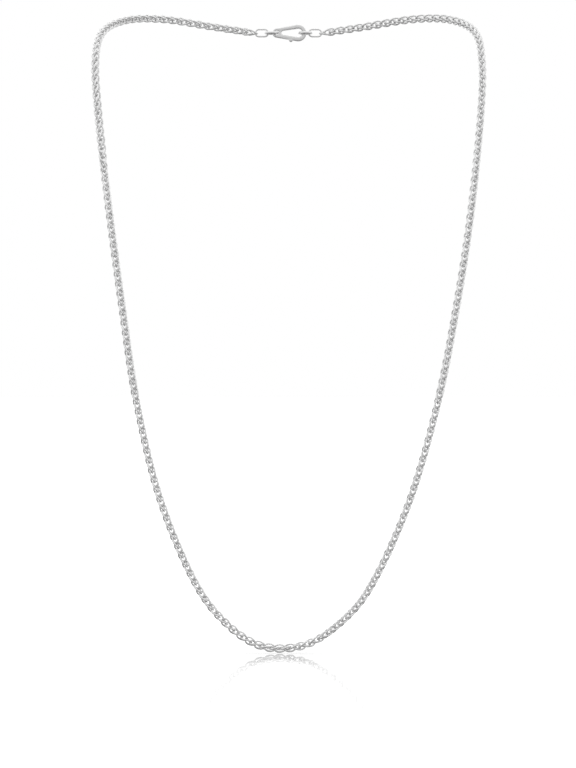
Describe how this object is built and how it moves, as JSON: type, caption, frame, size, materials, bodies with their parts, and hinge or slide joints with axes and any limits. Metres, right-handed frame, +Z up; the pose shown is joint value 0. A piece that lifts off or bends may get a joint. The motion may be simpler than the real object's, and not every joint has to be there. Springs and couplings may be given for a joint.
{
  "type": "wheat chain necklace",
  "caption": "Round woven wheat chain necklace in polished silver, a closed loop hung as worn, with end links, jump rings and a plain lobster clasp at the nape.",
  "frame": {"origin": "nape of the neck, in the middle of the closed clasp", "axes": "+Z up as worn, -Y the way the wearer faces, +X to the viewer's right when the front is looked at"},
  "size_m": [0.1064, 0.0644, 0.1729],
  "materials": {
    "polished_silver": "polished silver wire, lightly worn"
  },
  "bodies": {
    "root": {"chain": "polished_silver", "end_link_left": "polished_silver", "end_link_right": "polished_silver", "jump_ring_left": "polished_silver", "jump_ring_right": "polished_silver", "lobster_clasp": "polished_silver"}
  },
  "joints": []
}
